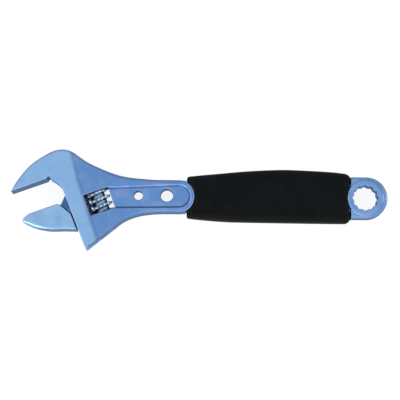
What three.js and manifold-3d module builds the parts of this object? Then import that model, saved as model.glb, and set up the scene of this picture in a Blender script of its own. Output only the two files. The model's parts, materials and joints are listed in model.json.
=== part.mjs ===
// Adjustable wrench with a foam grip: a forged body, a sliding jaw driven by a knurled worm,
// the worm's screw pin and take-up spring, and a soft sleeve over the handle.
//
// Millimetres, +Z up. The wrench lies flat, the jaws at -X and the ring end at +X.
// Outlines are drawn in two flat frames, both at the wrench's mid-thickness:
//   handle frame: X along the handle, the middle of the neck on Y = 0
//   head frame:   origin at the worm's centre, turned by HEAD_ANGLE, +Y the way the jaw closes
import * as THREE from "three";
import { mergeVertices } from "three/addons/utils/BufferGeometryUtils.js";
import Module from "manifold-3d";

const wasm = await Module();
wasm.setup();

// ---- driving dimensions -------------------------------------------------------------------

const HEAD_ANGLE = THREE.MathUtils.degToRad(20);
const WORM_CENTRE = new THREE.Vector2(-35.7, -3.3);

// Thicknesses, each centred on Z = 0.
const HEAD_THICKNESS = 14;
const SHOULDER_THICKNESS = 10.6;
const PANEL_THICKNESS = 8.2;
const TANG_THICKNESS = 7;
const RING_THICKNESS = 8.6;
const RING_BOSS_THICKNESS = 9.6;
const JAW_THICKNESS = 11.6;
const WEB_THICKNESS = 4.8;
const SLOT_THICKNESS = 5.4;
const GRIP_THICKNESS = 14;
const EDGE_CHAMFER = 0.8;
const SHOULDER_SLOPE = 1.2;
const PANEL_SLOPE = 0.6;

// Jaws and slide, in the head frame. The rest opening is 14.6 mm, of 27 mm at most.
const FIXED_FACE_Y = 20.9;
const MOVABLE_FACE_Y = 6.3;
const THROAT_CENTRE = new THREE.Vector2(-28.9, 10.9);
const THROAT_RADIUS = 12.3;
const RELIEF_RADIUS = 0.9;
const HEEL_TIP = new THREE.Vector2(-15.5, -22.3);
const RAIL_X = -9.5;
const RAIL_RADIUS = 4.2;
const RAIL_TOP_Y = 13.9;
const RAIL_BOTTOM_Y = -17.2;
const BORE_RADIUS = 4.5;
const BORE_TOP_Y = 29;

// Worm: a single-start right-hand thread in mesh with the rail's rack.
const THREAD_PITCH = 3.8;
const WORM_RADIUS = 6.7;
const WORM_ROOT_RADIUS = 5;
const WORM_LENGTH = 11;
const WORM_BORE_RADIUS = 2.3;
const CREST_SHARE = 0.28;
const ROOT_SHARE = 0.34;
const WINDOW_WIDTH = 14.2;
const WINDOW_LENGTH = 11.6;

// Screw pin and spring, both on the worm's axis.
const PIN_RADIUS = 2;
const PIN_HEAD_RADIUS = 2.6;
const PIN_HEAD_Y = -7;
const PIN_BOTTOM_Y = -16.2;
const PIN_TIP_Y = 10.5;
const SPRING_WIRE_RADIUS = 0.28;
const SPRING_RADIUS = 2.95;
const SPRING_TURNS = 3.5;
const POCKET_RADIUS = 3.6;
const POCKET_DEPTH = 4.2;

// Neck, ring end and grip, in the handle frame.
const NECK_HALF_WIDTH = 9;
const NECK_END_X = 7.3;
const PANEL_RADIUS = 6;
const PANEL_END_X = 7.5;
const SMALL_HOLE = { x: -14.6, y: 0.4, radius: 2.5 };
const LARGE_HOLE = { x: 0.9, y: 0.6, radius: 3.4 };
const COLLAR_END_X = 11.4;
const TANG_HALF_WIDTH = 7.5;
const TANG_START_X = 14;
const RING_CENTRE = new THREE.Vector2(108.9, 0.25);
const RING_RADIUS = 11.45;
const RING_ROUND_X = 109.55;
const RING_ROOT_X = 101.1;
const BOSS_RADIUS = 10;
const SOCKET_FLATS = 12.2;
const GRIP_LEFT_X = 11.7;
const GRIP_RIGHT_X = 100.9;
const GRIP_EDGE_ROUND = 3;

// Clearance between pieces that fit into each other.
const FIT_GAP = 0.3;
// Longer than anything in the wrench is thick, for cutters that pass right through.
const THROUGH = 40;

// ---- helpers ------------------------------------------------------------------------------

const point = (x, y) => new THREE.Vector2(x, y);
const points = (...pairs) => pairs.map(([x, y]) => point(x, y));

/** A head-frame point in the handle frame. */
function fromHead(p) {
  return p.clone().rotateAround(point(0, 0), HEAD_ANGLE).add(WORM_CENTRE);
}

/** Evenly spaced points on a smooth curve through the given ones. */
function curve(through, steps) {
  return new THREE.SplineCurve(through).getSpacedPoints(steps);
}

/** Points on an arc, angles in degrees, clockwise when the end angle is the smaller. */
function arc(x, y, radius, fromDegrees, toDegrees, steps) {
  const [from, to] = [fromDegrees, toDegrees].map(THREE.MathUtils.degToRad);
  return new THREE.EllipseCurve(x, y, radius, radius, from, to, to < from).getPoints(steps);
}

/** A three.js geometry as a solid that can be joined and cut. */
function solid(geometry) {
  const bare = geometry.clone();
  bare.deleteAttribute("normal");
  bare.deleteAttribute("uv");
  const merged = mergeVertices(bare, 1e-4);
  const corners = merged.index.array;
  const kept = [];
  for (let i = 0; i < corners.length; i += 3) {
    const [a, b, c] = corners.slice(i, i + 3);
    if (a !== b && b !== c && c !== a) {
      kept.push(a, b, c);
    }
  }
  return new wasm.Manifold(
    new wasm.Mesh({
      numProp: 3,
      vertProperties: new Float32Array(merged.attributes.position.array),
      triVerts: new Uint32Array(kept),
    }),
  );
}

/** A solid back as a three.js geometry with flat facets. */
function geometryOf(body) {
  const { vertProperties, triVerts } = body.getMesh();
  const geometry = new THREE.BufferGeometry();
  geometry.setAttribute("position", new THREE.BufferAttribute(vertProperties, 3));
  geometry.setIndex(new THREE.BufferAttribute(triVerts, 1));
  const faceted = geometry.toNonIndexed();
  faceted.computeVertexNormals();
  return faceted;
}

/** A plate of a flat outline, centred on Z = 0, with its edges chamfered or rounded. */
function plate(outline, thickness, edge = 0, edgeSteps = 1) {
  return new THREE.ExtrudeGeometry(new THREE.Shape(outline), {
    depth: thickness - 2 * edge,
    bevelEnabled: edge > 0,
    bevelThickness: edge,
    bevelSize: edge,
    bevelOffset: -edge,
    bevelSegments: edgeSteps,
  }).translate(0, 0, edge - thickness / 2);
}

/** A round bar along Y, between two heights. */
function bar(radius, lowY, highY, x = 0) {
  const sides = 28;
  return new THREE.CylinderGeometry(radius, radius, highY - lowY, sides)
    .translate(x, (lowY + highY) / 2, 0);
}

/** Moves head-frame geometry to the handle frame. */
function placeInHead(geometry) {
  return geometry.rotateZ(HEAD_ANGLE).translate(WORM_CENTRE.x, WORM_CENTRE.y, 0);
}

/** Cuts both faces of a body down over a region, to a given thickness, with sloped walls. */
function thinTo(body, region, thickness, slope) {
  let cut = body;
  for (const side of [1, -1]) {
    const cutter = plate(region, THROUGH, slope).translate(0, 0, (side * (THROUGH + thickness)) / 2);
    cut = cut.subtract(solid(cutter));
  }
  return cut;
}

/** A through hole along Z. */
function drill(body, { x, y, radius }) {
  const sides = 28;
  const drillBit = new THREE.CylinderGeometry(radius, radius, THROUGH, sides)
    .rotateX(Math.PI / 2)
    .translate(x, y, 0);
  return body.subtract(solid(drillBit));
}

function piece(name, geometry, colour, roughness, metalness) {
  const material = new THREE.MeshStandardMaterial({ color: colour, roughness, metalness });
  const mesh = new THREE.Mesh(geometry, material);
  mesh.name = name;
  return mesh;
}

// ---- body ---------------------------------------------------------------------------------

/** The fixed jaw, head and neck in one outline, anticlockwise from the heel's tip. */
function headOutline() {
  const heelEdge = curve(
    points([-28.6, -18.5], [-22.3, -13.7], [-14.9, -10.7], [-7.1, -9.4], [0, -NECK_HALF_WIDTH]),
    8,
  );
  const neckEnd = arc(NECK_END_X, 0, NECK_HALF_WIDTH, -90, 90, 14);
  const neckTop = points([0, NECK_HALF_WIDTH], [-8.8, 9.2], [-24.6, 11.1], [-39.6, 16.7]);
  const jawBack = points(
    [-4.9, 30.4], [-9.5, 33.5], [-16.5, 34.2], [-28.4, 31.3], [-37.4, 26.1], [-43.9, FIXED_FACE_Y],
  ).map(fromHead);
  const back = curve([...neckTop, point(-46.5, 20.75), ...jawBack], 40);
  const { x, y } = THROAT_CENTRE;
  const throatTop = Math.asin((FIXED_FACE_Y - y) / THROAT_RADIUS);
  const throat = arc(x, y, THROAT_RADIUS, THREE.MathUtils.radToDeg(throatTop), 0, 6);
  return [fromHead(HEEL_TIP), ...heelEdge, ...neckEnd, ...back, ...throat.map(fromHead)];
}

/** The thinner area of the head and neck, to the right of the slide housing. */
function shoulderRegion() {
  const housingEdge = points([-5.5, 40], [-8, 16], [-8.6, 0], [-9, -30]).map(fromHead);
  return [...housingEdge, point(THROUGH, -THROUGH), point(THROUGH, THROUGH)];
}

/** The sunk panel along the neck, open into the worm's window and round at its other end. */
function panelRegion() {
  const windowSide = points([6, 5.6], [6, -5.8]).map(fromHead);
  return [...windowSide, ...arc(PANEL_END_X, 0, PANEL_RADIUS, -90, 90, 12)];
}

/** The channel that the jaw's web slides in, open at the front, the throat and the heel. */
function slotRegion() {
  return points(
    [RAIL_X, -THROUGH], [RAIL_X, BORE_TOP_Y], [-13.2, BORE_TOP_Y], [-24, 16.9], [-24, -THROUGH],
  );
}

/** What is cut out of the head for the rail, the jaw's web, the worm and its pin. */
function headCutters() {
  const window = new THREE.BoxGeometry(WINDOW_WIDTH, WINDOW_LENGTH, THROUGH);
  const cutters = [
    bar(BORE_RADIUS, -THROUGH, BORE_TOP_Y, RAIL_X),
    plate(slotRegion(), SLOT_THICKNESS),
    window,
    bar(PIN_RADIUS + FIT_GAP, PIN_HEAD_Y, PIN_TIP_Y + FIT_GAP),
    bar(PIN_HEAD_RADIUS + FIT_GAP, -THROUGH, PIN_HEAD_Y + FIT_GAP),
  ];
  return cutters.map((cutter) => solid(placeInHead(cutter)));
}

/** The small relief hole in the corner between the fixed jaw's face and the throat. */
function reliefHole() {
  const up = FIXED_FACE_Y - THROAT_CENTRE.y;
  const across = Math.sqrt(THROAT_RADIUS ** 2 - up ** 2);
  const { x, y } = fromHead(point(THROAT_CENTRE.x + across, FIXED_FACE_Y));
  return { x, y, radius: RELIEF_RADIUS };
}

/** A flat bar along X, as thick as the tang. */
function flatBar(startX, endX, halfWidth) {
  return new THREE.BoxGeometry(endX - startX, 2 * halfWidth, TANG_THICKNESS)
    .translate((startX + endX) / 2, 0, 0);
}

/** The ring end's outline: a straight-sided root with a round end. */
function ringOutline() {
  const { y } = RING_CENTRE;
  const round = arc(RING_ROUND_X, y, RING_RADIUS, -90, 90, 20);
  return [point(RING_ROOT_X, y + RING_RADIUS), point(RING_ROOT_X, y - RING_RADIUS), ...round];
}

/** The twelve-point socket through the ring: two hexagons, one turned by 30 degrees. */
function socketOutline() {
  const count = 24;
  const inradius = SOCKET_FLATS / 2;
  return Array.from({ length: count }, (_, i) => {
    const radius = inradius / Math.cos(THREE.MathUtils.degToRad(i % 2 ? 15 : 30));
    const angle = (2 * Math.PI * i) / count;
    return point(radius * Math.cos(angle), radius * Math.sin(angle)).add(RING_CENTRE);
  });
}

function buildBody() {
  let head = solid(plate(headOutline(), HEAD_THICKNESS, EDGE_CHAMFER));
  head = thinTo(head, shoulderRegion(), SHOULDER_THICKNESS, SHOULDER_SLOPE);
  head = thinTo(head, panelRegion(), PANEL_THICKNESS, PANEL_SLOPE);
  for (const cutter of headCutters()) {
    head = head.subtract(cutter);
  }
  const bossOutline = arc(RING_CENTRE.x, RING_CENTRE.y, BOSS_RADIUS, 0, 345, 23);
  const boss = plate(bossOutline, RING_BOSS_THICKNESS, EDGE_CHAMFER / 2);
  const ring = solid(plate(ringOutline(), RING_THICKNESS, EDGE_CHAMFER)).add(solid(boss));
  const tang = flatBar(TANG_START_X, RING_CENTRE.x, TANG_HALF_WIDTH);
  const collar = flatBar(0, COLLAR_END_X, NECK_HALF_WIDTH);
  let body = head.add(solid(collar)).add(solid(tang)).add(ring);
  body = body.subtract(solid(plate(socketOutline(), THROUGH)));
  for (const hole of [SMALL_HOLE, LARGE_HOLE, reliefHole()]) {
    body = drill(body, hole);
  }
  return piece("body", geometryOf(body), 0x86aedd, 0.42, 0.75);
}

// ---- movable jaw --------------------------------------------------------------------------

/** The jaw's plate, anticlockwise from its lower back corner. */
function jawOutline() {
  const back = points([-16.6, -10.7], [-17, -1.4], [-20.9, 5.3], [-22, MOVABLE_FACE_Y]);
  const tip = points([-37.8, MOVABLE_FACE_Y], [-40.8, 5.6]);
  const belly = new THREE.QuadraticBezierCurve(point(-43.2, 4), point(-37, -4.6), point(-24, -8));
  return [...back, ...tip, ...belly.getPoints(9)];
}

/** The thin web that joins the plate to the rail through the slot. */
function webOutline() {
  return points(
    [-22, -7], [-16, -10.2], [RAIL_X, -16.2], [RAIL_X, 13.4], [-13.4, 13.2], [-20.2, 5.9], [-22, 5],
  );
}

/** The rack's grooves: one each thread pitch, tilted by the thread's lead angle. */
function rackGrooves() {
  const crest = (CREST_SHARE * THREAD_PITCH) / 2;
  const flank = ((1 - CREST_SHARE - ROOT_SHARE) * THREAD_PITCH) / 2;
  const flankSlope = flank / (WORM_RADIUS - WORM_ROOT_RADIUS);
  const sideGap = 0.25;
  const pastThread = 0.5;
  const halfWidthAt = (x) => crest + sideGap + flankSlope * (WORM_RADIUS + x);
  const rootX = -WORM_RADIUS - FIT_GAP;
  const outerX = -WORM_ROOT_RADIUS + pastThread;
  const profile = points(
    [rootX, -halfWidthAt(rootX)],
    [outerX, -halfWidthAt(outerX)],
    [outerX, halfWidthAt(outerX)],
    [rootX, halfWidthAt(rootX)],
  );
  const meshRadius = (WORM_RADIUS + WORM_ROOT_RADIUS) / 2;
  const leadAngle = Math.atan(THREAD_PITCH / (2 * Math.PI * meshRadius));
  const margin = THREAD_PITCH / 2;
  const first = Math.ceil((RAIL_BOTTOM_Y + margin) / THREAD_PITCH);
  const last = Math.floor((RAIL_TOP_Y - margin) / THREAD_PITCH);
  const grooves = [];
  for (let i = first; i <= last; i += 1) {
    const groove = plate(profile, 3 * RAIL_RADIUS).rotateX(-leadAngle);
    grooves.push(groove.translate(0, i * THREAD_PITCH, 0));
  }
  return grooves;
}

function buildMovableJaw() {
  let rail = solid(bar(RAIL_RADIUS, RAIL_BOTTOM_Y, RAIL_TOP_Y, RAIL_X));
  for (const groove of rackGrooves()) {
    rail = rail.subtract(solid(groove));
  }
  const jaw = solid(plate(jawOutline(), JAW_THICKNESS, EDGE_CHAMFER))
    .add(solid(plate(webOutline(), WEB_THICKNESS)))
    .add(rail);
  return piece("movable_jaw", geometryOf(jaw), 0x8fb4de, 0.4, 0.75);
}

// ---- worm, pin and spring -----------------------------------------------------------------

/** The thread's section across the axis: a crest facing -X, a root, and two spiral flanks. */
function threadSection() {
  const halfCrest = CREST_SHARE / 2;
  const halfRoot = ROOT_SHARE / 2;
  const corners = [
    { turn: -halfCrest, radius: WORM_RADIUS, steps: 6 },
    { turn: halfCrest, radius: WORM_RADIUS, steps: 3 },
    { turn: 0.5 - halfRoot, radius: WORM_ROOT_RADIUS, steps: 8 },
    { turn: 0.5 + halfRoot, radius: WORM_ROOT_RADIUS, steps: 3 },
    { turn: 1 - halfCrest, radius: WORM_RADIUS, steps: 0 },
  ];
  const outline = [];
  for (let i = 0; i + 1 < corners.length; i += 1) {
    const [from, to] = [corners[i], corners[i + 1]];
    for (let step = 0; step < from.steps; step += 1) {
      const share = step / from.steps;
      const radius = THREE.MathUtils.lerp(from.radius, to.radius, share);
      const angle = Math.PI + 2 * Math.PI * THREE.MathUtils.lerp(from.turn, to.turn, share);
      outline.push(point(radius * Math.cos(angle), radius * Math.sin(angle)));
    }
  }
  return outline;
}

/** The section swept along the axis and turned once each pitch. */
function threadedBar() {
  const stepsPerTurn = 16;
  const geometry = new THREE.ExtrudeGeometry(new THREE.Shape(threadSection()), {
    depth: WORM_LENGTH,
    steps: Math.round((stepsPerTurn * WORM_LENGTH) / THREAD_PITCH),
    bevelEnabled: false,
  }).translate(0, 0, -WORM_LENGTH / 2);
  const position = geometry.attributes.position;
  const vertex = new THREE.Vector3();
  const axis = new THREE.Vector3(0, 0, 1);
  for (let i = 0; i < position.count; i += 1) {
    vertex.fromBufferAttribute(position, i);
    vertex.applyAxisAngle(axis, (2 * Math.PI * vertex.z) / THREAD_PITCH);
    position.setXYZ(i, vertex.x, vertex.y, vertex.z);
  }
  return geometry.rotateX(-Math.PI / 2);
}

function buildWorm() {
  const bottomY = -WORM_LENGTH / 2;
  const worm = solid(threadedBar())
    .subtract(solid(bar(WORM_BORE_RADIUS, -THROUGH, THROUGH)))
    .subtract(solid(bar(POCKET_RADIUS, -THROUGH, bottomY + POCKET_DEPTH)));
  return piece("worm", geometryOf(worm), 0xc9ced6, 0.25, 0.95);
}

/** The slotted screw that the worm turns on, its head in the heel. */
function buildWormPin() {
  const chamfer = 0.4;
  const profile = points(
    [0, PIN_BOTTOM_Y],
    [PIN_HEAD_RADIUS - chamfer, PIN_BOTTOM_Y],
    [PIN_HEAD_RADIUS, PIN_BOTTOM_Y + chamfer],
    [PIN_HEAD_RADIUS, PIN_HEAD_Y],
    [PIN_RADIUS, PIN_HEAD_Y],
    [PIN_RADIUS, PIN_TIP_Y - chamfer],
    [PIN_RADIUS - chamfer, PIN_TIP_Y],
    [0, PIN_TIP_Y],
  );
  const slotWidth = 0.9;
  const slotDepth = 1.4;
  const slot = new THREE.BoxGeometry(slotWidth, 2 * slotDepth, THROUGH)
    .translate(0, PIN_BOTTOM_Y, 0);
  const pin = solid(new THREE.LatheGeometry(profile, 20)).subtract(solid(slot));
  return piece("worm_pin", geometryOf(pin), 0x8d939c, 0.35, 0.9);
}

/** A helix about Y, for the spring's wire. */
class Helix extends THREE.Curve {
  constructor(radius, lowY, highY, turns) {
    super();
    Object.assign(this, { radius, lowY, highY, turns });
  }

  getPoint(t, target = new THREE.Vector3()) {
    const angle = 2 * Math.PI * this.turns * t;
    const y = THREE.MathUtils.lerp(this.lowY, this.highY, t);
    return target.set(this.radius * Math.sin(angle), y, this.radius * Math.cos(angle));
  }
}

/** The spring in the worm's pocket, which presses against the window's wall. */
function buildWormSpring() {
  const clearance = FIT_GAP + SPRING_WIRE_RADIUS;
  const lowY = -WINDOW_LENGTH / 2 + clearance;
  const highY = POCKET_DEPTH - WORM_LENGTH / 2 - clearance;
  const wire = new THREE.Shape(arc(0, 0, SPRING_WIRE_RADIUS, 0, 300, 5));
  const stepsPerTurn = 14;
  const geometry = new THREE.ExtrudeGeometry(wire, {
    steps: stepsPerTurn * SPRING_TURNS,
    extrudePath: new Helix(SPRING_RADIUS, lowY, highY, SPRING_TURNS),
  });
  return piece("worm_spring", geometry, 0xb4b8bd, 0.3, 0.9);
}

// ---- grip ---------------------------------------------------------------------------------

/** The grip from above, anticlockwise from its lower left corner: straight below, full above. */
function gripOutline() {
  const lower = curve(
    points([13.5, -11.6], [18, -12.1], [31, -13], [44, -13.3], [97.2, -13.6]),
    10,
  );
  const upper = curve(
    points([96.8, 13.8], [90, 14.4], [75, 15.1], [62, 15.3], [44, 14.3], [28, 12.7], [13.7, 11.25]),
    14,
  );
  const right = points([99.5, -12.8], [GRIP_RIGHT_X, -11.2], [GRIP_RIGHT_X, 11.2], [99.3, 12.8]);
  const left = points([GRIP_LEFT_X, 9.6], [GRIP_LEFT_X, -9.8]);
  return [...lower, ...right, ...upper, ...left];
}

/** The foam sleeve: hollow for the tang, its ends notched round the neck and the ring's boss. */
function buildGripSleeve() {
  const hollow = new THREE.BoxGeometry(
    2 * RING_CENTRE.x,
    2 * (TANG_HALF_WIDTH + FIT_GAP),
    TANG_THICKNESS + 2 * FIT_GAP,
  ).translate(RING_CENTRE.x, 0, 0);
  let sleeve = solid(plate(gripOutline(), GRIP_THICKNESS, GRIP_EDGE_ROUND, 3));
  sleeve = sleeve.subtract(solid(hollow));
  sleeve = drill(sleeve, { x: NECK_END_X, y: 0, radius: NECK_HALF_WIDTH + FIT_GAP });
  sleeve = drill(sleeve, { x: RING_CENTRE.x, y: RING_CENTRE.y, radius: BOSS_RADIUS + FIT_GAP });
  return piece("grip_sleeve", geometryOf(sleeve), 0x15171a, 0.9, 0);
}

// ---- assembly -----------------------------------------------------------------------------

const mechanism = new THREE.Group();
mechanism.position.set(WORM_CENTRE.x, WORM_CENTRE.y, 0);
mechanism.rotation.z = HEAD_ANGLE;
mechanism.add(buildMovableJaw(), buildWorm(), buildWormPin(), buildWormSpring());

const wrench = new THREE.Group();
wrench.add(buildBody(), buildGripSleeve(), mechanism);

// The origin goes to the middle of the underside.
const extent = new THREE.Box3().setFromObject(wrench, true);
const middle = extent.getCenter(new THREE.Vector3());
wrench.position.set(-middle.x, -middle.y, -extent.min.z);

export default wrench;
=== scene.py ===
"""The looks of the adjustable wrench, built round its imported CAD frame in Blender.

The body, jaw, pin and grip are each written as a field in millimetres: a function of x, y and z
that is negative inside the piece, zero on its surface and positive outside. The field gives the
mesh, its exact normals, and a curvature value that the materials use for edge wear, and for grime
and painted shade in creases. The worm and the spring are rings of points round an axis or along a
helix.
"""

import json
import math

import bpy
import numpy as np
import openvdb
from mathutils import Matrix, Vector


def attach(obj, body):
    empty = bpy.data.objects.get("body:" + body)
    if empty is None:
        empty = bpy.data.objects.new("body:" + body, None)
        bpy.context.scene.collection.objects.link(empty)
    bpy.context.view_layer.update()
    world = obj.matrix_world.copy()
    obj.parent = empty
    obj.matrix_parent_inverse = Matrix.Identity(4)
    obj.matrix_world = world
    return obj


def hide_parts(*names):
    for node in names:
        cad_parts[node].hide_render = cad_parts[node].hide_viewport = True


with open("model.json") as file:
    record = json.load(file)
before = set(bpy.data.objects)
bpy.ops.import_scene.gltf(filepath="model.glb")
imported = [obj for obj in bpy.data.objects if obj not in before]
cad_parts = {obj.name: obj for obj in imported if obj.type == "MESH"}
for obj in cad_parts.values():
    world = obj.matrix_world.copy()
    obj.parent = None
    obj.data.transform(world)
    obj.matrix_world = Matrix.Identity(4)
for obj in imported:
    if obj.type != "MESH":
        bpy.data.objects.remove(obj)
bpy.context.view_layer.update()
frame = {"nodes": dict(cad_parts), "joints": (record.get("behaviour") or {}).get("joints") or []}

MM = 0.001

# ---- frames -------------------------------------------------------------------------------
# Outlines are drawn in two flat frames at the wrench's mid-thickness, in millimetres:
#   handle frame: x along the handle, the middle of the neck on y = 0
#   head frame:   origin at the worm's centre, y the way the jaw closes

WORM_JOINT = next(joint for joint in frame["joints"] if joint["name"] == "worm_spin")
WORM_AXIS = Vector(WORM_JOINT["axis"]).normalized()
HEAD_ANGLE = math.atan2(-WORM_AXIS.x, WORM_AXIS.y)
WORM_CENTRE = Vector((-35.7, -3.3, 0))
HANDLE_FRAME = Matrix.Translation(Vector(WORM_JOINT["pos_m"]) - WORM_CENTRE * MM)
HEAD_FRAME = Matrix.Translation(WORM_JOINT["pos_m"]) @ Matrix.Rotation(HEAD_ANGLE, 4, "Z")

# ---- driving dimensions, in millimetres ---------------------------------------------------

# Half thicknesses, each side of the wrench's middle plane.
HEAD_HALF = 7.0
SHOULDER_HALF = 6.3
NECK_HALF = 5.3
PANEL_HALF = 4.1
TANG_HALF = 3.5
RING_HALF = 4.3
BOSS_HALF = 4.8
JAW_HALF = 5.8
WEB_HALF = 2.4
SLOT_HALF = 2.7
GRIP_HALF = 7.0
GRIP_END_TAPER = 1.9

FIXED_FACE_Y = 20.9
MOVABLE_FACE_Y = 6.3
THROAT_CENTRE = (-28.9, 10.9)
THROAT_RADIUS = 12.3
RELIEF_RADIUS = 0.9
HEEL_TIP = (-15.5, -22.3)
RAIL_X = -9.5
RAIL_RADIUS = 4.2
RAIL_LOW_Y = -17.2
RAIL_HIGH_Y = 13.9
BORE_RADIUS = 4.5
BORE_TOP_Y = 29.0

# The rack is cut for a thread from WORM_RADIUS down to WORM_ROOT_RADIUS. The floor goes deeper.
THREAD_PITCH = 3.8
WORM_RADIUS = 6.7
WORM_ROOT_RADIUS = 5.0
WORM_FLOOR_RADIUS = 4.1
WORM_HALF_LENGTH = 5.5
WORM_BORE_RADIUS = 2.3
CREST_SHARE = 0.28
ROOT_SHARE = 0.34
KNURL_COUNT = 14
KNURL_DEPTH = 1.1
WINDOW_HALF_WIDTH = 6.95
WINDOW_HALF_LENGTH = 5.8

PIN_RADIUS = 2.0
PIN_HEAD_RADIUS = 2.6
PIN_HEAD_Y = -7.0
PIN_BOTTOM_Y = -16.2
PIN_TIP_Y = 10.5
SCREW_SLOT_HALF = 0.45
SCREW_SLOT_DEPTH = 1.4
POCKET_RADIUS = 3.6
POCKET_DEPTH = 4.2
SPRING_RADIUS = 2.95
SPRING_WIRE_RADIUS = 0.28
SPRING_TURNS = 3.5

NECK_RADIUS = 9.0
NECK_END_X = 7.3
PANEL_RADIUS = 6.0
PANEL_END_X = 7.5
NECK_HOLES = ((-14.6, 0.4, 2.5), (0.9, 0.6, 3.4))
COLLAR_END_X = 11.4
TANG_START_X = 14.0
TANG_HALF_WIDTH = 7.5
RING_X = 108.9
RING_Y = 0.25
RING_RADIUS = 11.45
RING_ROUND_X = 109.55
RING_ROOT_X = 101.1
BOSS_RADIUS = 10.0
SOCKET_FLATS = 12.2
GRIP_LEFT_X = 11.7
GRIP_RIGHT_X = 101.0
FIT_GAP = 0.3

# Two broken lines in the head frame, from their lowest point up.
HOUSING_BACK = ((-9, -30), (-8.6, 0), (-8, 16), (-5.5, 40))
JAW_BACK = ((-16.45, -10.7), (-16.85, -1.4), (-20.9, 5.3), (-22, MOVABLE_FACE_Y))

# Mesh sizes: the spacing of the samples that each piece is meshed from.
BODY_VOXEL = 0.42
JAW_VOXEL = 0.3
PIN_VOXEL = 0.16
GRIP_VOXEL = 0.6

# Farther out than any point of the wrench, for cuts that run right through.
FAR = 60.0


# ---- curves -------------------------------------------------------------------------------


def head_to_handle(points):
    """Head-frame points in the handle frame."""
    cos, sin = math.cos(HEAD_ANGLE), math.sin(HEAD_ANGLE)
    return [
        (cos * x - sin * y + WORM_CENTRE.x, sin * x + cos * y + WORM_CENTRE.y)
        for x, y in points
    ]


def handle_to_head(x, y):
    """Handle-frame coordinate arrays in the head frame."""
    cos, sin = math.cos(HEAD_ANGLE), math.sin(HEAD_ANGLE)
    dx, dy = x - WORM_CENTRE.x, y - WORM_CENTRE.y
    return cos * dx + sin * dy, cos * dy - sin * dx


def spline(points, steps):
    """Points along a smooth Catmull-Rom curve through the given ones, steps to a span."""
    through = np.array(points, float)
    padded = np.vstack([2 * through[0] - through[1], through, 2 * through[-1] - through[-2]])
    t = np.arange(steps)[:, None] / steps
    spans = []
    for a, b, c, d in zip(padded, padded[1:], padded[2:], padded[3:]):
        bend = (2 * a - 5 * b + 4 * c - d) * t**2 + (3 * b - a - 3 * c + d) * t**3
        spans.append(0.5 * (2 * b + (c - a) * t + bend))
    return [tuple(p) for p in np.vstack([*spans, through[-1:]])]


def arc(x, y, radius, from_degrees, to_degrees, steps):
    """Points on an arc round (x, y)."""
    angles = np.radians(np.linspace(from_degrees, to_degrees, steps + 1))
    return [(x + radius * math.cos(a), y + radius * math.sin(a)) for a in angles]


def bezier(start, control, end, steps):
    """Points on a quadratic Bezier curve, without its start."""
    t = np.arange(1, steps + 1)[:, None] / steps
    start, control, end = (np.array(p, float) for p in (start, control, end))
    return [tuple(p) for p in (1 - t) ** 2 * start + 2 * t * (1 - t) * control + t**2 * end]


def past_line(line, x, y):
    """How far each point is to the right of a broken line, at the point's own height."""
    line_x, line_y = zip(*line)
    return x - np.interp(y, line_y, line_x)


# ---- fields -------------------------------------------------------------------------------


def outline_distance(outline, x, y):
    """Distance of each point from a closed outline, negative inside it."""
    nearest = np.full(np.broadcast(x, y).shape, np.inf)
    inside = np.zeros(nearest.shape, bool)
    for (ax, ay), (bx, by) in zip(outline, outline[1:] + outline[:1]):
        ex, ey = bx - ax, by - ay
        px, py = x - ax, y - ay
        along = np.clip((px * ex + py * ey) / (ex * ex + ey * ey), 0, 1)
        nearest = np.minimum(nearest, (px - along * ex) ** 2 + (py - along * ey) ** 2)
        spans = (py < 0) != (py < ey)
        inside ^= spans & ((px * ey < py * ex) == (ey > 0))
    return np.where(inside, -1, 1) * np.sqrt(nearest)


def smoothstep(low, high, value):
    """0 below low, 1 above high, and a smooth rise between them."""
    t = np.clip((value - low) / (high - low), 0, 1)
    return t * t * (3 - 2 * t)


def blend(start, end, share):
    return start + (end - start) * share


def both(a, b, radius):
    """What is inside both fields, with the crease between them rounded."""
    share = np.clip(0.5 + 0.5 * (a - b) / radius, 0, 1)
    return blend(b, a, share) + radius * share * (1 - share)


def either(a, b, radius):
    """Two fields joined, with a fillet between them."""
    return -both(-a, -b, radius)


def cut(field, tool, radius):
    """A field with a tool cut out of it, and the cut's edge rounded."""
    return both(field, -tool, radius)


def rounded_plate(side, face, radius):
    """A plate inside its outline (side) and its thickness (face), its edges truly round."""
    a, b = side + radius, face + radius
    return np.minimum(np.maximum(a, b), 0) + np.hypot(np.maximum(a, 0), np.maximum(b, 0)) - radius


def bar(radius, low_y, high_y, x, y, z):
    """A round bar along y."""
    return np.maximum(np.hypot(x, z) - radius, np.maximum(low_y - y, y - high_y))


# ---- body ---------------------------------------------------------------------------------


def throat_arc():
    """The round throat, from the fixed jaw's face to the slide housing, in the head frame."""
    x, y = THROAT_CENTRE
    top = math.degrees(math.asin((FIXED_FACE_Y - y) / THROAT_RADIUS))
    return arc(x, y, THROAT_RADIUS, top, 0, 14)


def head_outline():
    """The fixed jaw, head and neck, anticlockwise from the heel's tip, in the handle frame."""
    heel_edge = spline(
        [(-28.6, -18.5), (-22.3, -13.7), (-14.9, -10.7), (-7.1, -9.4), (0, -NECK_RADIUS)], 5,
    )
    neck_end = arc(NECK_END_X, 0, NECK_RADIUS, -90, 90, 24)
    jaw_back = head_to_handle([
        (-4.9, 30.4), (-9.5, 33.5), (-16.5, 34.2), (-28.4, 31.3), (-37.4, 26.1),
        (-43.9, FIXED_FACE_Y),
    ])
    neck_top = [(0, NECK_RADIUS), (-8.8, 9.2), (-24.6, 11.1), (-39.6, 16.7), (-46.5, 20.75)]
    back = spline(neck_top + jaw_back, 7)
    return head_to_handle([HEEL_TIP]) + heel_edge + neck_end + back + head_to_handle(throat_arc())


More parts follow.
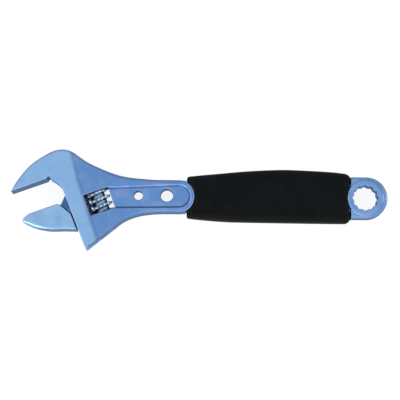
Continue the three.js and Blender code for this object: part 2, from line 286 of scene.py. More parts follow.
def throat_outline():
    """The open space between the jaws and in front of the slide housing, in the head frame."""
    return [
        (-FAR, FIXED_FACE_Y), *throat_arc(), HEEL_TIP, (HEEL_TIP[0], -FAR), (-FAR, -FAR),
    ]


def panel_outline():
    """The sunk panel along the neck, in the handle frame."""
    window_side = head_to_handle([(6, 5.6), (6, -5.8)])
    return window_side + arc(PANEL_END_X, 0, PANEL_RADIUS, -90, 90, 20)


def slot_outline():
    """The channel that the jaw's web slides in, in the head frame."""
    return [
        (RAIL_X, -FAR), (RAIL_X, BORE_TOP_Y), (-13.2, BORE_TOP_Y), (-24, 16.9), (-24, -FAR),
    ]


def socket_outline():
    """The ring's twelve points: two hexagons, one turned by 30 degrees."""
    outline = []
    for i in range(24):
        radius = SOCKET_FLATS / 2 / math.cos(math.radians(15 if i % 2 else 30))
        angle = 2 * math.pi * i / 24
        outline.append((RING_X + radius * math.cos(angle), RING_Y + radius * math.sin(angle)))
    return outline


HEAD_OUTLINE = head_outline()
THROAT_OUTLINE = throat_outline()
PANEL_OUTLINE = panel_outline()
SLOT_OUTLINE = slot_outline()
SOCKET_OUTLINE = socket_outline()


def head_field(x, y, z):
    """The fixed jaw, slide housing and neck: machined in front, forged round everywhere else."""
    u, v = handle_to_head(x, y)
    behind = past_line(HOUSING_BACK, u, v)
    half = blend(HEAD_HALF, SHOULDER_HALF, smoothstep(-0.4, 2.2, behind))
    half = blend(half, NECK_HALF, smoothstep(1, 22, behind))
    panel = outline_distance(PANEL_OUTLINE, x, y)
    half = blend(PANEL_HALF, half, smoothstep(-0.6, 0.5, panel))
    machined, forged, neck, neck_end = 0.4, 1.5, 2.0, 1.0
    edge = blend(machined, forged, smoothstep(0.5, 3, outline_distance(THROAT_OUTLINE, u, v)))
    edge = blend(edge, neck, smoothstep(6, 24, behind))
    edge = blend(edge, neck_end, smoothstep(6, 13, x))
    return rounded_plate(outline_distance(HEAD_OUTLINE, x, y), np.abs(z) - half, edge)


def slide_field(u, v, z):
    """What is cut from the head for the rail, the web, the worm and its pin, in the head frame."""
    crisp = 0.3
    rail_bore = bar(BORE_RADIUS, -FAR, BORE_TOP_Y, u - RAIL_X, v, z)
    channel = np.maximum(outline_distance(SLOT_OUTLINE, u, v), np.abs(z) - SLOT_HALF)
    window = np.maximum(np.abs(u) - WINDOW_HALF_WIDTH, np.abs(v) - WINDOW_HALF_LENGTH)
    pin_hole = bar(PIN_RADIUS + FIT_GAP, PIN_HEAD_Y, PIN_TIP_Y + FIT_GAP, u, v, z)
    head_hole = bar(PIN_HEAD_RADIUS + FIT_GAP, -FAR, PIN_HEAD_Y + FIT_GAP, u, v, z)
    guides = either(rail_bore, channel, crisp)
    holes = np.minimum(pin_hole, head_hole)
    return np.minimum(np.minimum(guides, holes), window)


def ring_field(x, y, z):
    """The ring end: a straight-sided root with a round end, and a round boss through it."""
    plate_edge, boss_edge, corner = 1.4, 0.8, 0.3
    up = y - RING_Y
    side = np.hypot(np.maximum(x - RING_ROUND_X, 0), up) - RING_RADIUS
    plate = rounded_plate(side, np.abs(z) - RING_HALF, plate_edge)
    plate = np.maximum(plate, RING_ROOT_X - x)
    boss_side = np.hypot(x - RING_X, up) - BOSS_RADIUS
    boss = rounded_plate(boss_side, np.abs(z) - BOSS_HALF, boss_edge)
    return either(plate, boss, corner)


def flat_bar(start_x, end_x, half_width, x, y, z):
    """A flat bar along x, as thick as the tang."""
    edge = 0.4
    side = np.maximum(np.abs(y) - half_width, np.maximum(start_x - x, x - end_x))
    return rounded_plate(side, np.abs(z) - TANG_HALF, edge)


def body_field(x, y, z):
    """The whole forged body, in the handle frame."""
    slide_edge, relief_edge, hole_edge, socket_edge, ring_fillet = 0.6, 0.2, 0.7, 0.6, 1
    u, v = handle_to_head(x, y)
    head = cut(head_field(x, y, z), slide_field(u, v, z), slide_edge)
    relief_x, relief_y = throat_arc()[0]
    head = cut(head, np.hypot(u - relief_x, v - relief_y) - RELIEF_RADIUS, relief_edge)
    collar = flat_bar(NECK_END_X - 1, COLLAR_END_X, NECK_RADIUS - 0.1, x, y, z)
    head = np.minimum(head, collar)
    for hole_x, hole_y, radius in NECK_HOLES:
        head = cut(head, np.hypot(x - hole_x, y - hole_y) - radius, hole_edge)
    tang = flat_bar(TANG_START_X, RING_X, TANG_HALF_WIDTH, x, y, z)
    ring = either(tang, ring_field(x, y, z), ring_fillet)
    return np.minimum(head, cut(ring, outline_distance(SOCKET_OUTLINE, x, y), socket_edge))


def body_finish(x, y, z):
    """How ground the faces are, partly painted shade, and how far the rims get painted edge shade,
    in the handle frame.
    """
    u, v = handle_to_head(x, y)
    # The ground head is lighter and the forged faces deeper: partly their finish, partly painted
    # shade.
    head = 1 - smoothstep(-0.5, 2, past_line(HOUSING_BACK, u, v))
    ring = smoothstep(RING_ROOT_X - 2, RING_ROOT_X, x)
    # Where these are high, no edge shade is painted: the throat, the neck's end and the panel's
    # edge keep lighter rims, a painted highlight.
    jaw_tip = 1 - smoothstep(-36, -24, u) * smoothstep(11, 16, v)
    throat = jaw_tip * (1 - smoothstep(0.5, 2, outline_distance(THROAT_OUTLINE, u, v)))
    neck_end = smoothstep(9, 12, x) * (1 - ring)
    panel = np.abs(outline_distance(PANEL_OUTLINE, x, y))
    panel_line = blend(0.8, 0.6, smoothstep(4, -4, y)) * (1 - smoothstep(0.8, 1.6, panel))
    bright = np.maximum(throat, np.maximum(neck_end, panel_line))
    return np.maximum(head, 0.35 * ring), 1 - bright


# ---- movable jaw --------------------------------------------------------------------------


def jaw_outline():
    """The jaw's plate in the head frame, run on past its back, from its lower back corner."""
    back = [(-10, -13.2), (-10, MOVABLE_FACE_Y)]
    tip = [(-38.6, MOVABLE_FACE_Y), (-41.6, 5.2)]
    belly_start = (-43.2, 4)
    belly = bezier(belly_start, (-37, -4.6), (-24, -8), 24)
    return [*back, *tip, belly_start, *belly]


JAW_OUTLINE = jaw_outline()
WEB_OUTLINE = [
    (-22, -7), (-16, -10.2), (RAIL_X, -16.2), (RAIL_X, 13.4), (-13.4, 13.2), (-20.2, 5.9),
    (-22, 5),
]


def rack_field(u, v, z):
    """The rack's grooves: one each thread pitch, tilted by the thread's lead angle."""
    crest = CREST_SHARE * THREAD_PITCH / 2
    flank = (1 - CREST_SHARE - ROOT_SHARE) * THREAD_PITCH / 2
    flank_slope = flank / (WORM_RADIUS - WORM_ROOT_RADIUS)
    side_gap = 0.25
    lead = math.atan(THREAD_PITCH / (math.pi * (WORM_RADIUS + WORM_ROOT_RADIUS)))
    first = math.ceil(RAIL_LOW_Y / THREAD_PITCH + 0.5)
    last = math.floor(RAIL_HIGH_Y / THREAD_PITCH - 0.5)
    groove = np.clip(np.round(v / THREAD_PITCH), first, last)
    across = (v - groove * THREAD_PITCH) * math.cos(lead) - z * math.sin(lead)
    half_width = crest + side_gap + flank_slope * (WORM_RADIUS + u)
    walls = (np.abs(across) - half_width) / math.hypot(1, flank_slope)
    return np.maximum(walls, -WORM_RADIUS - FIT_GAP - u)


def jaw_field(u, v, z):
    """The movable jaw in the head frame: its plate with a round belly, the web and the rail."""
    face_edge, belly_edge, tip_edge, crisp = 0.5, 1.7, 2.2, 0.3
    web_edge, rail_edge, web_fillet = 0.2, 0.4, 0.8
    belly = smoothstep(2, 6, MOVABLE_FACE_Y - v)
    edge = blend(face_edge, blend(belly_edge, tip_edge, smoothstep(-30, -38, u)), belly)
    plate = rounded_plate(outline_distance(JAW_OUTLINE, u, v), np.abs(z) - JAW_HALF, edge)
    plate = both(plate, past_line(JAW_BACK, u, v), crisp)
    web = rounded_plate(outline_distance(WEB_OUTLINE, u, v), np.abs(z) - WEB_HALF, web_edge)
    rail_ends = np.maximum(RAIL_LOW_Y - v, v - RAIL_HIGH_Y)
    rail = rounded_plate(np.hypot(u - RAIL_X, z) - RAIL_RADIUS, rail_ends, rail_edge)
    rail = cut(rail, rack_field(u, v, z), crisp)
    return np.minimum(either(plate, web, web_fillet), rail)


def jaw_finish(u, v, z):
    """The plate is ground and the web and rail painted darker as shade; the belly's rim gets
    painted edge shade, left off at the tip as a painted highlight.
    """
    # Painted shade: the web and rail, which sit in the body's slot, take the deeper colour.
    in_plate = smoothstep(WEB_HALF, WEB_HALF + 1.5, np.abs(z))
    return in_plate, smoothstep(-38, -31, u)


# ---- worm, pin and spring -----------------------------------------------------------------


def thread_radius(angle, y):
    """The thread's radius at an angle round the axis, the crest facing -x at y = 0."""
    turn = (angle - math.pi) / (2 * math.pi) - y / THREAD_PITCH
    from_crest = np.abs(turn - np.round(turn))
    flank_share = np.clip(
        (from_crest - CREST_SHARE / 2) / (0.5 - CREST_SHARE / 2 - ROOT_SHARE / 2), 0, 1
    )
    return blend(WORM_RADIUS, WORM_FLOOR_RADIUS, flank_share)


def knurl_radius(angle, y):
    """The crest's knurl: V grooves along the axis, and a chamfer at each end of the worm."""
    wave = np.abs((angle * KNURL_COUNT / (2 * math.pi)) % 1 - 0.5) * 2
    groove = KNURL_DEPTH * np.clip(1.6 * wave - 0.6, 0, 1)
    end_chamfer = WORM_RADIUS - 0.5 + (WORM_HALF_LENGTH - np.abs(y))
    return np.minimum(WORM_RADIUS - groove, end_chamfer)


def worm_rings():
    """The worm's closed section as rings: (height, radius at each angle, wear and painted shade),
    bore to bore.
    """
    angles = np.linspace(0, 2 * math.pi, 12 * KNURL_COUNT, endpoint=False)
    flat = np.ones_like(angles)
    pocket_top = POCKET_DEPTH - WORM_HALF_LENGTH
    rings = [
        (WORM_HALF_LENGTH, WORM_BORE_RADIUS * flat, -0.5 * flat),
        (pocket_top, WORM_BORE_RADIUS * flat, -1 * flat),
        (pocket_top, POCKET_RADIUS * flat, -1 * flat),
        (-WORM_HALF_LENGTH, POCKET_RADIUS * flat, 0 * flat),
    ]
    for y in np.linspace(-WORM_HALF_LENGTH, WORM_HALF_LENGTH, 96):
        knurl = knurl_radius(angles, y)
        radius = np.minimum(thread_radius(angles, y), knurl)
        # Crests get edge wear; roots, like the bore and pocket above, get grime and painted shade.
        height = (radius - WORM_FLOOR_RADIUS) / (WORM_RADIUS - WORM_FLOOR_RADIUS)
        rings.append((y, radius, blend(-1.2, 1.2, height)))
    return angles, rings


def pin_field(u, v, z):
    """The slotted screw that the worm turns on, its head in the heel, in the head frame."""
    shank_edge, head_edge, slot_edge, into_head = 0.4, 0.5, 0.2, 1
    out = np.hypot(u, z)
    shank_ends = np.maximum(PIN_HEAD_Y - into_head - v, v - PIN_TIP_Y)
    shank = rounded_plate(out - PIN_RADIUS, shank_ends, shank_edge)
    head_ends = np.maximum(PIN_BOTTOM_Y - v, v - PIN_HEAD_Y)
    head = rounded_plate(out - PIN_HEAD_RADIUS, head_ends, head_edge)
    slot = np.maximum(np.abs(u) - SCREW_SLOT_HALF, v - PIN_BOTTOM_Y - SCREW_SLOT_DEPTH)
    return cut(np.minimum(shank, head), slot, slot_edge)


def spring_path():
    """The middle of the spring's wire, in the head frame."""
    clearance = FIT_GAP + SPRING_WIRE_RADIUS
    low_y = clearance - WINDOW_HALF_LENGTH
    high_y = POCKET_DEPTH - WORM_HALF_LENGTH - clearance
    t = np.linspace(0, 1, int(40 * SPRING_TURNS))
    angle = 2 * math.pi * SPRING_TURNS * t
    y = blend(low_y, high_y, t)
    return np.column_stack([SPRING_RADIUS * np.sin(angle), y, SPRING_RADIUS * np.cos(angle)])


# ---- grip ---------------------------------------------------------------------------------


def grip_outline():
    """The grip from above, anticlockwise from its lower left corner, in the handle frame."""
    lower = spline([(13.2, -11.6), (18, -12.1), (31, -13), (44, -13.3), (98.2, -13.6)], 6)
    upper = spline(
        [(98, 13.7), (90, 14.4), (75, 15.1), (62, 15.3), (44, 14.3), (28, 12.7), (13.4, 11.3)], 5,
    )
    right = [
        (99.4, -13.1), (100.4, -12.2), (GRIP_RIGHT_X, -11),
        (GRIP_RIGHT_X, 11), (100.4, 12.2), (99.4, 13.1),
    ]
    left = [(12.2, 10.9), (GRIP_LEFT_X, 9.9), (GRIP_LEFT_X, -10.5), (12, -11.4)]
    return lower + right + upper + left


GRIP_OUTLINE = grip_outline()


def grip_field(x, y, z):
    """The foam sleeve: crowned faces, full round edges, a hollow for the tang and end notches."""
    crown_drop, taper_length, middle_edge, end_edge = 0.9, 14, 3.4, 2.2
    taper = smoothstep(GRIP_LEFT_X + taper_length, GRIP_LEFT_X, x)
    taper = taper + smoothstep(GRIP_RIGHT_X - taper_length, GRIP_RIGHT_X, x)
    crown = GRIP_HALF - crown_drop * smoothstep(2, 15, np.abs(y)) - GRIP_END_TAPER * taper
    edge = blend(middle_edge, end_edge, taper)
    sleeve = rounded_plate(outline_distance(GRIP_OUTLINE, x, y), np.abs(z) - crown, edge)
    hollow = np.maximum(np.abs(y) - TANG_HALF_WIDTH - FIT_GAP, np.abs(z) - TANG_HALF - FIT_GAP)
    neck_notch = np.hypot(x - NECK_END_X, y) - NECK_RADIUS - FIT_GAP
    ring_notch = np.hypot(x - RING_X, y - RING_Y) - BOSS_RADIUS - FIT_GAP / 2
    notch_edge, hollow_edge = 0.3, 0.6
    sleeve = cut(sleeve, np.minimum(neck_notch, ring_notch), notch_edge)
    return cut(sleeve, hollow, hollow_edge)


def plain_finish(x, y, z):
    """No ground faces and no painted edge shade."""
    return np.zeros(len(x)), np.zeros(len(x))


# ---- meshes -------------------------------------------------------------------------------


def field_samples(field, points, step):
    """The field at each point, its slope there, and its curvature, positive on outer edges."""
    middle = field(*points.T)
    slope = np.zeros_like(points)
    total = -6 * middle
    for axis in range(3):
        shift = np.zeros(3)
        shift[axis] = step
        above, below = field(*(points + shift).T), field(*(points - shift).T)
        slope[:, axis] = (above - below) / (2 * step)
        total += above + below
    return middle, slope, total / step**2


def mesh_from_field(name, field, finish, low, high, voxel, placement):
    """A closed mesh of the field's surface, with its exact normals and its material values."""
    axes = [np.arange(low[i] - 2 * voxel, high[i] + 3 * voxel, voxel) for i in range(3)]
    x, y, z = np.ix_(*axes)
    values = np.broadcast_to(field(x, y, z), [len(axis) for axis in axes])
    grid = openvdb.FloatGrid(background=FAR)
    grid.copyFromArray(values.astype(np.float32))
    points, triangles, quads = grid.convertToPolygons(isovalue=0.0, adaptivity=0.0)
    points = points.astype(float) * voxel + [axis[0] for axis in axes]
    for _ in range(2):
        value, slope, _ = field_samples(field, points, voxel / 4)
        steepness = np.maximum((slope**2).sum(1), 0.25)
        move = np.clip(-value / steepness, -voxel / 3, voxel / 3)
        points += move[:, None] * slope
    _, slope, curvature = field_samples(field, points, voxel)
    mesh = bpy.data.meshes.new(name)
    faces = triangles.tolist() + quads.tolist()
    mesh.from_pydata(points * MM, [], faces)
    mesh.shade_smooth()
    normals = slope / np.maximum(np.linalg.norm(slope, axis=1), 1e-6)[:, None]
    mesh.normals_split_custom_set_from_vertices(normals)
    add_values(mesh, curvature, *finish(*points.T))
    return add_object(name, mesh, placement)


def add_values(mesh, curvature, polish_and_painted_shade, edge_shade):
    """Stores what the materials read at each vertex."""
    for name, values in (("curvature", curvature), ("polish_and_painted_shade", polish_and_painted_shade), ("edge_shade", edge_shade)):
        attribute = mesh.attributes.new(name, "FLOAT", "POINT")
        attribute.data.foreach_set("value", np.asarray(values, np.float32))


def add_object(name, mesh, placement):
    """A new object with its place moved into its mesh."""
    mesh.transform(placement)
    piece = bpy.data.objects.new(name, mesh)
    bpy.context.scene.collection.objects.link(piece)
    return piece


def ring_faces(rings, sides, closed):
    """Quads between neighbouring rings of vertices, the last joined to the first if closed."""
    faces = []
    for ring in range(rings if closed else rings - 1):
        here, there = ring * sides, (ring + 1) % rings * sides
        for side in range(sides):
            after = (side + 1) % sides
            faces.append((here + side, there + side, there + after, here + after))
    return faces


def make_worm():
    angles, rings = worm_rings()
    points, wear_and_shade = [], []
    for y, radius, values in rings:
        height = np.full(len(angles), y)
        points.append(
            np.column_stack([radius * np.cos(angles), height, -radius * np.sin(angles)])
        )
        wear_and_shade.append(values)
    mesh = bpy.data.meshes.new("knurled_worm")
    faces = ring_faces(len(rings), len(angles), closed=True)
    mesh.from_pydata(np.vstack(points) * MM, [], faces)
    mesh.shade_smooth()
    mesh.set_sharp_from_angle(angle=math.radians(32))
    wear_and_shade = np.concatenate(wear_and_shade)
    # Painted shade: the worm's side towards -x takes the deeper colour, the side towards +x the
    # lighter one.
    painted_lit_side = smoothstep(-0.9, 0.5, np.cos(np.tile(angles, len(rings))))
    add_values(mesh, wear_and_shade, painted_lit_side, np.zeros(len(wear_and_shade)))
    return add_object("knurled_worm", mesh, HEAD_FRAME)


def make_spring():
    path = spring_path()
    sides = 10
    forward = np.gradient(path, axis=0)
    forward /= np.linalg.norm(forward, axis=1)[:, None]
    outward = path * [1, 0, 1] / SPRING_RADIUS
    across = np.cross(forward, outward)
    points = []
    for side in range(sides):
        angle = 2 * math.pi * side / sides
        round_wire = math.cos(angle) * outward + math.sin(angle) * across
        points.append(path + SPRING_WIRE_RADIUS * round_wire)
    points = np.stack(points, axis=1).reshape(-1, 3)
    faces = ring_faces(len(path), sides, closed=False)
    faces += [tuple(range(sides)), tuple(reversed(range(len(points) - sides, len(points))))]
    mesh = bpy.data.meshes.new("coil_spring")
    mesh.from_pydata(points * MM, [], faces)
    mesh.shade_smooth()
    mesh.set_sharp_from_angle(angle=math.radians(40))
    add_values(mesh, *np.zeros((3, len(points))))
    return add_object("coil_spring", mesh, HEAD_FRAME)


def local_box(node, placement):
    """A CAD node's box in a modelling frame, in millimetres."""
    inverse = placement.inverted()
    corners = np.array([inverse @ v.co for v in frame["nodes"][node].data.vertices]) / MM
    return corners.min(0), corners.max(0)


# ---- materials ----------------------------------------------------------------------------


class Nodes:
    """A short way to write a material's nodes."""

    def __init__(self, name):
        self.material = bpy.data.materials.new(name)
        self.material.use_nodes = True
        self.tree = self.material.node_tree
        self.tree.nodes.clear()
        self.shader = self.tree.nodes.new("ShaderNodeBsdfPrincipled")
        output = self.tree.nodes.new("ShaderNodeOutputMaterial")
        self.tree.links.new(self.shader.outputs["BSDF"], output.inputs["Surface"])
        coordinates = self.tree.nodes.new("ShaderNodeTexCoord").outputs["Object"]
        self.millimetres = self.vector_scale(coordinates, (1 / MM,) * 3)

    def set(self, node, socket, value):
        """Links a socket, or gives it a plain value."""
        if isinstance(value, bpy.types.NodeSocket):
            self.tree.links.new(value, node.inputs[socket])
        else:
            node.inputs[socket].default_value = value

    def vector_scale(self, vector, scale):
        node = self.tree.nodes.new("ShaderNodeVectorMath")
        node.operation = "MULTIPLY"
        self.set(node, 0, vector)
        self.set(node, 1, scale)
        return node.outputs[0]

    def noise(self, per_mm, detail=3.0, stretch=(1, 1, 1), rough=0.55):
        """Noise with that many lumps to a millimetre."""
        node = self.tree.nodes.new("ShaderNodeTexNoise")
        self.set(node, "Vector", self.vector_scale(self.millimetres, stretch))
        self.set(node, "Scale", per_mm)
        self.set(node, "Detail", detail)
        self.set(node, "Roughness", rough)
        return node.outputs["Fac"]

    def cells(self, per_mm):
        """Distance to the nearest of a scatter of points, for pits."""
        node = self.tree.nodes.new("ShaderNodeTexVoronoi")
        self.set(node, "Vector", self.millimetres)
        self.set(node, "Scale", per_mm)
        return node.outputs["Distance"]

    def attribute(self, name):
        node = self.tree.nodes.new("ShaderNodeAttribute")
        node.attribute_name = name
        return node.outputs["Fac"]

    def upward(self):
        """How squarely the surface faces up or down."""
        normal = self.tree.nodes.new("ShaderNodeNewGeometry").outputs["Normal"]
        parts = self.tree.nodes.new("ShaderNodeSeparateXYZ")
        self.set(parts, 0, normal)
        return self.math("ABSOLUTE", parts.outputs["Z"], 0)

    def math(self, operation, a, b):
        node = self.tree.nodes.new("ShaderNodeMath")
        node.operation = operation
        self.set(node, 0, a)
        self.set(node, 1, b)
        return node.outputs[0]

    def ramp(self, value, low, high, start=0.0, end=1.0):
        """start where value is at low, end where it is at high, and no further."""
        node = self.tree.nodes.new("ShaderNodeMapRange")
        node.interpolation_type = "SMOOTHSTEP"
        self.set(node, "Value", value)
        self.set(node, "From Min", low)
        self.set(node, "From Max", high)
        self.set(node, "To Min", start)
        self.set(node, "To Max", end)
        return node.outputs["Result"]

    def mix(self, share, start, end):
        """Two colours mixed by a share."""
        node = self.tree.nodes.new("ShaderNodeMix")
        node.data_type = "RGBA"
        for socket, value in ((0, share), (6, start), (7, end)):
            if isinstance(value, tuple):
                value = (*value, 1.0)
            self.set(node, socket, value)
        return node.outputs[2]

    def bump(self, height, depth_mm, strength, under=None):
        """A bump of a height from 0 to 1 standing depth_mm tall."""
        node = self.tree.nodes.new("ShaderNodeBump")
        self.set(node, "Height", height)
        self.set(node, "Distance", depth_mm * MM)
        self.set(node, "Strength", strength)
        if under is not None:
            self.set(node, "Normal", under)
        return node.outputs["Normal"]


def satin_metal(name, bright, deep, grime_and_shade, worn, wall_shade, roughness, grain=1.0):
    """Plated steel: polished where ground, deeper where forged and where shade is painted, worn on
    edges, grime and painted shade in corners, painted shade on its walls.
    """
    nodes = Nodes(name)
    curvature = nodes.attribute("curvature")
    polish_and_painted_shade = nodes.attribute("polish_and_painted_shade")
    clouds = nodes.noise(0.16, detail=4)
    speckle = nodes.noise(2.2, detail=4, rough=0.7)
    brushing = nodes.noise(1.4, detail=3, stretch=(0.12, 1.6, 1))

    # The polish value sets how light the plating is, partly by its finish and partly as painted
    # shade.
    tint = nodes.math("ADD", polish_and_painted_shade, nodes.ramp(clouds, 0.3, 0.7, -0.16, 0.16))
    colour = nodes.mix(tint, deep, bright)
    patches = nodes.noise(0.09, detail=2)
    colour = nodes.mix(nodes.ramp(patches, 0.45, 0.65, 0, 0.2), colour, worn)
    colour = nodes.mix(nodes.ramp(speckle, 0.52, 0.75, 0, 0.2), colour, grime_and_shade)
    # Painted shade: faces turned sideways, and rims with edge shade set, take the dark wall
    # colour.
    steep = nodes.math("MULTIPLY", nodes.attribute("edge_shade"), 0.6)
    steep = nodes.math("SUBTRACT", nodes.upward(), steep)
    colour = nodes.mix(nodes.ramp(steep, 0.35, 0.1, 0, 0.9), colour, wall_shade)
    # Grime and painted shade in concave creases.
    crease_grime_and_shade = nodes.ramp(curvature, -0.4, -1.6)
    crease_grime_and_shade = nodes.math("MULTIPLY", crease_grime_and_shade, nodes.ramp(speckle, 0.25, 0.6, 0.55, 1))
    colour = nodes.mix(nodes.math("MULTIPLY", crease_grime_and_shade, 0.6), colour, grime_and_shade)
    # Edge wear on convex edges, weakened where edge shade is painted.
    rubbed = nodes.ramp(curvature, 0.35, 1.3)
    rubbed = nodes.math("MULTIPLY", rubbed, nodes.ramp(clouds, 0.35, 0.65, 0.35, 1))
    rubbed = nodes.math("MULTIPLY", rubbed, nodes.ramp(nodes.attribute("edge_shade"), 0, 1, 1, 0.25))
    colour = nodes.mix(nodes.math("MULTIPLY", rubbed, 0.7), colour, worn)
    nodes.set(nodes.shader, "Base Color", colour)

    rough = nodes.ramp(brushing, 0.3, 0.7, roughness - 0.05, roughness + 0.06)
    rough = nodes.math("ADD", rough, nodes.math("MULTIPLY", crease_grime_and_shade, 0.2))
    rough = nodes.math("SUBTRACT", rough, nodes.math("MULTIPLY", rubbed, 0.08))
    nodes.set(nodes.shader, "Roughness", rough)
    nodes.set(nodes.shader, "Metallic", 1.0)
    nodes.set(nodes.shader, "Specular Tint", (0.35, 0.4, 0.5, 1))

    blasted = nodes.bump(speckle, 0.03 * grain, 0.35)
    nodes.set(nodes.shader, "Normal", nodes.bump(brushing, 0.02 * grain, 0.25, under=blasted))
    return nodes.material


def body_plating():
    """Satin blue plating, deeper where the body is forged, partly painted shade, and a painted
    slate shade on its walls.
    """
    return satin_metal(
        "satin_blue_plating",
        bright=(0.285, 0.52, 0.86), deep=(0.145, 0.31, 0.66), grime_and_shade=(0.05, 0.10, 0.25),
        worn=(0.42, 0.53, 0.84), wall_shade=(0.12, 0.20, 0.33), roughness=0.34,
    )


def jaw_plating():
    """The same plating on the jaw, painted darker on its web as shade, and paler where it is worn.
    """
    return satin_metal(
        "satin_blue_jaw",
        bright=(0.285, 0.52, 0.84), deep=(0.07, 0.16, 0.40), grime_and_shade=(0.05, 0.10, 0.25),
        worn=(0.55, 0.74, 0.90), wall_shade=(0.15, 0.24, 0.36), roughness=0.32,
    )


def worm_chrome():
    """Bright chrome on the knurled crest, oiled and with painted shade between the threads, and
    painted shade on one side.
    """
    return satin_metal(
        "knurled_chrome",
        bright=(0.52, 0.73, 0.90), deep=(0.07, 0.12, 0.24), grime_and_shade=(0.07, 0.14, 0.25),
        worn=(0.78, 0.84, 0.95), wall_shade=(0.35, 0.42, 0.55), roughness=0.2, grain=0.6,
    )


def pin_steel():
    """Plain grey steel."""
    return satin_metal(
        "pin_steel",
        bright=(0.30, 0.32, 0.36), deep=(0.18, 0.20, 0.24), grime_and_shade=(0.03, 0.03, 0.04),
        worn=(0.55, 0.57, 0.60), wall_shade=(0.18, 0.20, 0.24), roughness=0.36,
    )


def spring_steel():
    """Bright drawn wire."""
    return satin_metal(
        "spring_steel",
        bright=(0.50, 0.51, 0.53), deep=(0.30, 0.31, 0.33), grime_and_shade=(0.06, 0.06, 0.07),
        worn=(0.7, 0.7, 0.72), wall_shade=(0.4, 0.4, 0.42), roughness=0.3, grain=0.4,
    )


def foam():
    """Closed-cell foam: near black and matt, with fine pits and a slightly rubbed bloom."""
    nodes = Nodes("closed_cell_foam")
    bloom = nodes.noise(0.12, detail=4)
    skin = nodes.noise(1.1, detail=5, rough=0.65)
    pits = nodes.ramp(nodes.cells(1.7), 0.0, 0.45)
    dark, light = (0.0020, 0.0032, 0.0040), (0.0038, 0.0052, 0.0062)
    rubbed, pit = (0.009, 0.011, 0.0125), (0.0008, 0.001, 0.0012)
    colour = nodes.mix(nodes.ramp(bloom, 0.3, 0.7), dark, light)
    edges = nodes.ramp(nodes.attribute("curvature"), 0.12, 0.5, 0, 0.5)
    colour = nodes.mix(edges, colour, rubbed)
    colour = nodes.mix(nodes.ramp(pits, 0.5, 0, 0, 0.6), colour, pit)
    nodes.set(nodes.shader, "Base Color", colour)
    nodes.set(nodes.shader, "Roughness", nodes.ramp(skin, 0.3, 0.7, 0.72, 0.9))
    nodes.set(nodes.shader, "Specular IOR Level", 0.12)
    coarse = nodes.bump(skin, 0.12, 0.4)
    nodes.set(nodes.shader, "Normal", nodes.bump(pits, 0.10, 0.5, under=coarse))
    return nodes.material


# ---- stage --------------------------------------------------------------------------------


def add_camera():
    """The photograph's view: nearly straight down, from a little below the handle."""
    target = Vector((0.5, 1.0, 7.0)) * MM
    elevation = math.radians(83)
    distance = 0.95
    roll = math.radians(0.617)
    data = bpy.data.cameras.new("camera")
    data.lens = 156.6
    data.sensor_width = 36
    data.clip_end = 100
    camera = bpy.data.objects.new("camera", data)
    away = Vector((0, -math.cos(elevation), math.sin(elevation)))
    facing = (-away).to_track_quat("-Z", "Y").to_matrix().to_4x4()
    camera.matrix_world = (
        Matrix.Translation(target + distance * away) @ facing @ Matrix.Rotation(roll, 4, "Z")
    )
    bpy.context.scene.collection.objects.link(camera)
    bpy.context.scene.camera = camera


def add_floor():
    """A pale, matt floor under the wrench."""
    size = 12.0
    mesh = bpy.data.meshes.new("floor")
    corners = [(-size, -size, 0), (size, -size, 0), (size, size, 0), (-size, size, 0)]
    mesh.from_pydata(corners, [], [(0, 1, 2, 3)])
    floor = bpy.data.objects.new("floor", mesh)
    bpy.context.scene.collection.objects.link(floor)
    nodes = Nodes("pale_floor")
    clouds = nodes.noise(0.01, detail=3)
    colour = nodes.mix(clouds, (0.38, 0.38, 0.38), (0.41, 0.41, 0.41))
    nodes.set(nodes.shader, "Base Color", colour)
    nodes.set(nodes.shader, "Roughness", 0.8)
    nodes.set(nodes.shader, "Specular IOR Level", 0.2)
    nodes.set(nodes.shader, "Emission Color", (1, 1, 1, 1))
    nodes.set(nodes.shader, "Emission Strength", 0.8)
    mesh.materials.append(nodes.material)


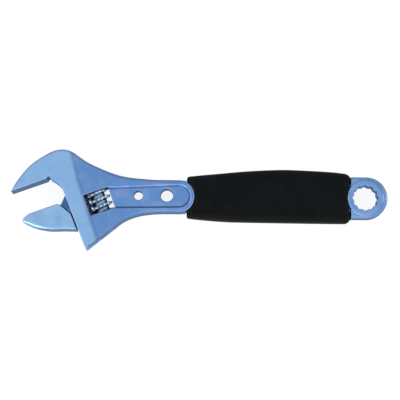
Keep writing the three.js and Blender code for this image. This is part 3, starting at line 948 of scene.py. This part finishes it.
def add_sky():
    """A soft white studio, brighter in front and to the left, dimmer behind and to the right."""
    world = bpy.data.worlds.new("studio")
    bpy.context.scene.world = world
    world.use_nodes = True
    tree = world.node_tree
    background = tree.nodes["Background"]
    direction = tree.nodes.new("ShaderNodeTexCoord").outputs["Generated"]
    dimmer_side = tree.nodes.new("ShaderNodeVectorMath")
    dimmer_side.operation = "DOT_PRODUCT"
    dimmer_side.inputs[1].default_value = Vector((0.65, 0.75, 0.0)).normalized()
    tree.links.new(direction, dimmer_side.inputs[0])
    strength = tree.nodes.new("ShaderNodeMapRange")
    brightness = {"From Min": -0.5, "From Max": 0.8, "To Min": 1.05, "To Max": 0.6}
    for socket, value in brightness.items():
        strength.inputs[socket].default_value = value
    tree.links.new(dimmer_side.outputs["Value"], strength.inputs["Value"])
    tree.links.new(strength.outputs["Result"], background.inputs["Strength"])
    background.inputs["Color"].default_value = (1, 1, 1, 1)


def add_softbox(name, place, size, watts):
    """A large area light aimed at the wrench."""
    data = bpy.data.lights.new(name, "AREA")
    data.shape = "DISK"
    data.size = size
    data.energy = watts
    light = bpy.data.objects.new(name, data)
    light.location = place
    light.rotation_euler = (-Vector(place)).to_track_quat("-Z", "Y").to_euler()
    bpy.context.scene.collection.objects.link(light)


# ---- assembly -----------------------------------------------------------------------------


def add_piece(piece, node, body, material):
    """Puts a finished piece in a CAD node's place."""
    piece.data.materials.append(material)
    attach(piece, body)
    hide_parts(node)


def build_piece(name, field, finish, node, voxel, placement):
    """A meshed piece of a field, inside its CAD node's box."""
    low, high = local_box(node, placement)
    return mesh_from_field(name, field, finish, low, high, voxel, placement)


add_camera()
add_floor()
add_sky()
add_softbox("softbox_front", (-0.6, -1.2, 0.5), size=0.7, watts=4)
add_softbox("softbox_right", (1.3, 0.2, 0.4), size=0.5, watts=2)

bpy.context.scene.view_settings.view_transform = "Standard"

body = build_piece("forged_body", body_field, body_finish, "body", BODY_VOXEL, HANDLE_FRAME)
jaw = build_piece("sliding_jaw", jaw_field, jaw_finish, "movable_jaw", JAW_VOXEL, HEAD_FRAME)
pin = build_piece("slotted_pin", pin_field, plain_finish, "worm_pin", PIN_VOXEL, HEAD_FRAME)
worm = make_worm()
spring = make_spring()
grip = build_piece("foam_grip", grip_field, plain_finish, "grip_sleeve", GRIP_VOXEL, HANDLE_FRAME)

add_piece(body, "body", "frame", body_plating())
add_piece(jaw, "movable_jaw", "jaw", jaw_plating())
add_piece(pin, "worm_pin", "frame", pin_steel())
add_piece(worm, "worm", "worm", worm_chrome())
add_piece(spring, "worm_spring", "frame", spring_steel())
add_piece(grip, "grip_sleeve", "frame", foam())
